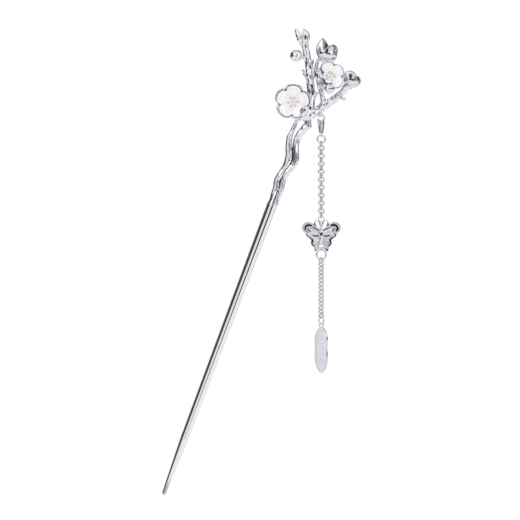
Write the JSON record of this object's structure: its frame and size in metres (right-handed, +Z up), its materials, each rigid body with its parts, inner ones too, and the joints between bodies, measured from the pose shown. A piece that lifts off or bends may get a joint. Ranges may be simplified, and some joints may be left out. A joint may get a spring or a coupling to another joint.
{
  "type": "decorative hair pin",
  "caption": "Silver hair stick: tapered shaft, twisted trunk with plum blossoms and buds, and a clasp, chain, butterfly and leaf that dangle from it.",
  "frame": {"origin": "on the shaft's axis at mid-length, where hair holds it", "axes": "+Z up with the dangle hanging down along -Z; the flowers face -Y; the shaft leans towards +X at its top"},
  "size_m": [0.074, 0.0091, 0.1729],
  "materials": {
    "shaft_silver": "polished",
    "polished_silver": "polished",
    "pearl_shell": "gloss",
    "cream_stamens": "satin",
    "clasp_silver": "polished",
    "chain_silver": "polished",
    "oxidised_silver": "satin",
    "frosted_silver": "satin"
  },
  "bodies": {
    "root": {"pin_shaft": "shaft_silver", "twisted_trunk": "polished_silver", "right_branch": "polished_silver", "upright_branch": "polished_silver", "middle_branch": "polished_silver", "hanging_eye": "clasp_silver", "left_bud": "polished_silver", "top_bud": "polished_silver", "lower_flower_cup": "polished_silver", "lower_shell_blossom": "pearl_shell", "lower_stamens": "cream_stamens", "upper_flower_cup": "polished_silver", "upper_shell_blossom": "pearl_shell", "upper_stamens": "cream_stamens", "upper_half_blossom": "polished_silver", "right_half_blossom": "polished_silver"},
    "clasp": {"clasp_body": "clasp_silver", "clasp_rivet": "clasp_silver", "clasp_spring": "clasp_silver"},
    "clasp_lever": {"clasp_lever": "clasp_silver"},
    "clasp_ring": {"clasp_ring": "chain_silver"},
    "upper_link_01": {"upper_link_01": "chain_silver"},
    "upper_link_02": {"upper_link_02": "chain_silver"},
    "upper_link_03": {"upper_link_03": "chain_silver"},
    "upper_link_04": {"upper_link_04": "chain_silver"},
    "upper_link_05": {"upper_link_05": "chain_silver"},
    "upper_link_06": {"upper_link_06": "chain_silver"},
    "upper_link_07": {"upper_link_07": "chain_silver"},
    "upper_link_08": {"upper_link_08": "chain_silver"},
    "upper_link_09": {"upper_link_09": "chain_silver"},
    "upper_link_10": {"upper_link_10": "chain_silver"},
    "upper_link_11": {"upper_link_11": "chain_silver"},
    "upper_link_12": {"upper_link_12": "chain_silver"},
    "upper_link_13": {"upper_link_13": "chain_silver"},
    "upper_link_14": {"upper_link_14": "chain_silver"},
    "upper_link_15": {"upper_link_15": "chain_silver"},
    "upper_link_16": {"upper_link_16": "chain_silver"},
    "upper_link_17": {"upper_link_17": "chain_silver"},
    "upper_link_18": {"upper_link_18": "chain_silver"},
    "upper_link_19": {"upper_link_19": "chain_silver"},
    "butterfly": {"butterfly": "oxidised_silver"},
    "butterfly_ring": {"butterfly_ring": "chain_silver"},
    "lower_link_01": {"lower_link_01": "chain_silver"},
    "lower_link_02": {"lower_link_02": "chain_silver"},
    "lower_link_03": {"lower_link_03": "chain_silver"},
    "lower_link_04": {"lower_link_04": "chain_silver"},
    "lower_link_05": {"lower_link_05": "chain_silver"},
    "lower_link_06": {"lower_link_06": "chain_silver"},
    "lower_link_07": {"lower_link_07": "chain_silver"},
    "lower_link_08": {"lower_link_08": "chain_silver"},
    "lower_link_09": {"lower_link_09": "chain_silver"},
    "lower_link_10": {"lower_link_10": "chain_silver"},
    "lower_link_11": {"lower_link_11": "chain_silver"},
    "lower_link_12": {"lower_link_12": "chain_silver"},
    "lower_link_13": {"lower_link_13": "chain_silver"},
    "lower_link_14": {"lower_link_14": "chain_silver"},
    "lower_link_15": {"lower_link_15": "chain_silver"},
    "leaf_ring": {"leaf_ring": "chain_silver"},
    "leaf": {"leaf": "frosted_silver"}
  },
  "joints": [
    {"name": "clasp_swing", "type": "hinge", "parent": "root", "child": "clasp", "pos_m": [0.03857, 0, 0.08678], "axis": [0, 1, 0], "range_deg": [-40, 10]},
    {"name": "clasp_lever_press", "type": "hinge", "parent": "clasp", "child": "clasp_lever", "pos_m": [0.03867, 0, 0.08243], "axis": [0, 1, 0], "range_deg": [0, 12], "stiffness_Nm_per_rad": 0.0005, "springref_deg": -5.73},
    {"name": "clasp_ring_swing", "type": "hinge", "parent": "clasp", "child": "clasp_ring", "pos_m": [0.03857, 0, 0.07919], "axis": [0, -1, 0], "range_deg": [-12, 12]},
    {"name": "upper_link_01_swing", "type": "hinge", "parent": "clasp_ring", "child": "upper_link_01", "pos_m": [0.03857, 0, 0.07688], "axis": [-0.9511, -0.309, 0], "range_deg": [-30, 30]},
    {"name": "upper_link_02_swing", "type": "hinge", "parent": "upper_link_01", "child": "upper_link_02", "pos_m": [0.03857, 0, 0.07544], "axis": [-0.309, 0.9511, 0], "range_deg": [-14, 14]},
    {"name": "upper_link_03_swing", "type": "hinge", "parent": "upper_link_02", "child": "upper_link_03", "pos_m": [0.03857, 0, 0.07398], "axis": [0.9511, 0.309, 0], "range_deg": [-30, 30]},
    {"name": "upper_link_04_swing", "type": "hinge", "parent": "upper_link_03", "child": "upper_link_04", "pos_m": [0.03857, 0, 0.07252], "axis": [0.309, -0.9511, 0], "range_deg": [-14, 14]},
    {"name": "upper_link_05_swing", "type": "hinge", "parent": "upper_link_04", "child": "upper_link_05", "pos_m": [0.03857, 0, 0.07106], "axis": [-0.9511, -0.309, 0], "range_deg": [-30, 30]},
    {"name": "upper_link_06_swing", "type": "hinge", "parent": "upper_link_05", "child": "upper_link_06", "pos_m": [0.03857, 0, 0.0696], "axis": [-0.309, 0.9511, 0], "range_deg": [-14, 14]},
    {"name": "upper_link_07_swing", "type": "hinge", "parent": "upper_link_06", "child": "upper_link_07", "pos_m": [0.03857, 0, 0.06814], "axis": [0.9511, 0.309, 0], "range_deg": [-30, 30]},
    {"name": "upper_link_08_swing", "type": "hinge", "parent": "upper_link_07", "child": "upper_link_08", "pos_m": [0.03857, 0, 0.06668], "axis": [0.309, -0.9511, 0], "range_deg": [-14, 14]},
    {"name": "upper_link_09_swing", "type": "hinge", "parent": "upper_link_08", "child": "upper_link_09", "pos_m": [0.03857, 0, 0.06522], "axis": [-0.9511, -0.309, 0], "range_deg": [-30, 30]},
    {"name": "upper_link_10_swing", "type": "hinge", "parent": "upper_link_09", "child": "upper_link_10", "pos_m": [0.03857, 0, 0.06376], "axis": [-0.309, 0.9511, 0], "range_deg": [-14, 14]},
    {"name": "upper_link_11_swing", "type": "hinge", "parent": "upper_link_10", "child": "upper_link_11", "pos_m": [0.03857, 0, 0.0623], "axis": [0.9511, 0.309, 0], "range_deg": [-30, 30]},
    {"name": "upper_link_12_swing", "type": "hinge", "parent": "upper_link_11", "child": "upper_link_12", "pos_m": [0.03857, 0, 0.06084], "axis": [0.309, -0.9511, 0], "range_deg": [-14, 14]},
    {"name": "upper_link_13_swing", "type": "hinge", "parent": "upper_link_12", "child": "upper_link_13", "pos_m": [0.03857, 0, 0.05938], "axis": [-0.9511, -0.309, 0], "range_deg": [-30, 30]},
    {"name": "upper_link_14_swing", "type": "hinge", "parent": "upper_link_13", "child": "upper_link_14", "pos_m": [0.03857, 0, 0.05792], "axis": [-0.309, 0.9511, 0], "range_deg": [-14, 14]},
    {"name": "upper_link_15_swing", "type": "hinge", "parent": "upper_link_14", "child": "upper_link_15", "pos_m": [0.03857, 0, 0.05646], "axis": [0.9511, 0.309, 0], "range_deg": [-30, 30]},
    {"name": "upper_link_16_swing", "type": "hinge", "parent": "upper_link_15", "child": "upper_link_16", "pos_m": [0.03857, 0, 0.055], "axis": [0.309, -0.9511, 0], "range_deg": [-14, 14]},
    {"name": "upper_link_17_swing", "type": "hinge", "parent": "upper_link_16", "child": "upper_link_17", "pos_m": [0.03857, 0, 0.05354], "axis": [-0.9511, -0.309, 0], "range_deg": [-30, 30]},
    {"name": "upper_link_18_swing", "type": "hinge", "parent": "upper_link_17", "child": "upper_link_18", "pos_m": [0.03857, 0, 0.05208], "axis": [-0.309, 0.9511, 0], "range_deg": [-14, 14]},
    {"name": "upper_link_19_swing", "type": "hinge", "parent": "upper_link_18", "child": "upper_link_19", "pos_m": [0.03857, 0, 0.05062], "axis": [0.9511, 0.309, 0], "range_deg": [-30, 30]},
    {"name": "butterfly_swing", "type": "hinge", "parent": "upper_link_19", "child": "butterfly", "pos_m": [0.03857, 0, 0.04916], "axis": [0, 1, 0], "range_deg": [-12, 12]},
    {"name": "butterfly_ring_swing", "type": "hinge", "parent": "butterfly", "child": "butterfly_ring", "pos_m": [0.03857, 0, 0.03666], "axis": [0.309, -0.9511, 0], "range_deg": [-14, 14]},
    {"name": "lower_link_01_swing", "type": "hinge", "parent": "butterfly_ring", "child": "lower_link_01", "pos_m": [0.03857, 0, 0.03356], "axis": [-0.7071, -0.7071, 0], "range_deg": [-24, 24]},
    {"name": "lower_link_02_swing", "type": "hinge", "parent": "lower_link_01", "child": "lower_link_02", "pos_m": [0.03857, 0, 0.03215], "axis": [-0.7071, 0.7071, 0], "range_deg": [-24, 24]},
    {"name": "lower_link_03_swing", "type": "hinge", "parent": "lower_link_02", "child": "lower_link_03", "pos_m": [0.03857, 0, 0.03069], "axis": [0.7071, 0.7071, 0], "range_deg": [-24, 24]},
    {"name": "lower_link_04_swing", "type": "hinge", "parent": "lower_link_03", "child": "lower_link_04", "pos_m": [0.03857, 0, 0.02923], "axis": [0.7071, -0.7071, 0], "range_deg": [-24, 24]},
    {"name": "lower_link_05_swing", "type": "hinge", "parent": "lower_link_04", "child": "lower_link_05", "pos_m": [0.03857, 0, 0.02777], "axis": [-0.7071, -0.7071, 0], "range_deg": [-24, 24]},
    {"name": "lower_link_06_swing", "type": "hinge", "parent": "lower_link_05", "child": "lower_link_06", "pos_m": [0.03857, 0, 0.02631], "axis": [-0.7071, 0.7071, 0], "range_deg": [-24, 24]},
    {"name": "lower_link_07_swing", "type": "hinge", "parent": "lower_link_06", "child": "lower_link_07", "pos_m": [0.03857, 0, 0.02485], "axis": [0.7071, 0.7071, 0], "range_deg": [-24, 24]},
    {"name": "lower_link_08_swing", "type": "hinge", "parent": "lower_link_07", "child": "lower_link_08", "pos_m": [0.03857, 0, 0.02339], "axis": [0.7071, -0.7071, 0], "range_deg": [-24, 24]},
    {"name": "lower_link_09_swing", "type": "hinge", "parent": "lower_link_08", "child": "lower_link_09", "pos_m": [0.03857, 0, 0.02193], "axis": [-0.7071, -0.7071, 0], "range_deg": [-24, 24]},
    {"name": "lower_link_10_swing", "type": "hinge", "parent": "lower_link_09", "child": "lower_link_10", "pos_m": [0.03857, 0, 0.02047], "axis": [-0.7071, 0.7071, 0], "range_deg": [-24, 24]},
    {"name": "lower_link_11_swing", "type": "hinge", "parent": "lower_link_10", "child": "lower_link_11", "pos_m": [0.03857, 0, 0.01901], "axis": [0.7071, 0.7071, 0], "range_deg": [-24, 24]},
    {"name": "lower_link_12_swing", "type": "hinge", "parent": "lower_link_11", "child": "lower_link_12", "pos_m": [0.03857, 0, 0.01755], "axis": [0.7071, -0.7071, 0], "range_deg": [-24, 24]},
    {"name": "lower_link_13_swing", "type": "hinge", "parent": "lower_link_12", "child": "lower_link_13", "pos_m": [0.03857, 0, 0.01609], "axis": [-0.7071, -0.7071, 0], "range_deg": [-24, 24]},
    {"name": "lower_link_14_swing", "type": "hinge", "parent": "lower_link_13", "child": "lower_link_14", "pos_m": [0.03857, 0, 0.01463], "axis": [-0.7071, 0.7071, 0], "range_deg": [-24, 24]},
    {"name": "lower_link_15_swing", "type": "hinge", "parent": "lower_link_14", "child": "lower_link_15", "pos_m": [0.03857, 0, 0.01317], "axis": [0.7071, 0.7071, 0], "range_deg": [-24, 24]},
    {"name": "leaf_ring_swing", "type": "hinge", "parent": "lower_link_15", "child": "leaf_ring", "pos_m": [0.03857, 0, 0.01171], "axis": [0.766, -0.6428, 0], "range_deg": [-20, 20]},
    {"name": "leaf_swing", "type": "hinge", "parent": "leaf_ring", "child": "leaf", "pos_m": [0.03857, 0, 0.00951], "axis": [0, 1, 0], "range_deg": [-18, 18]}
  ]
}
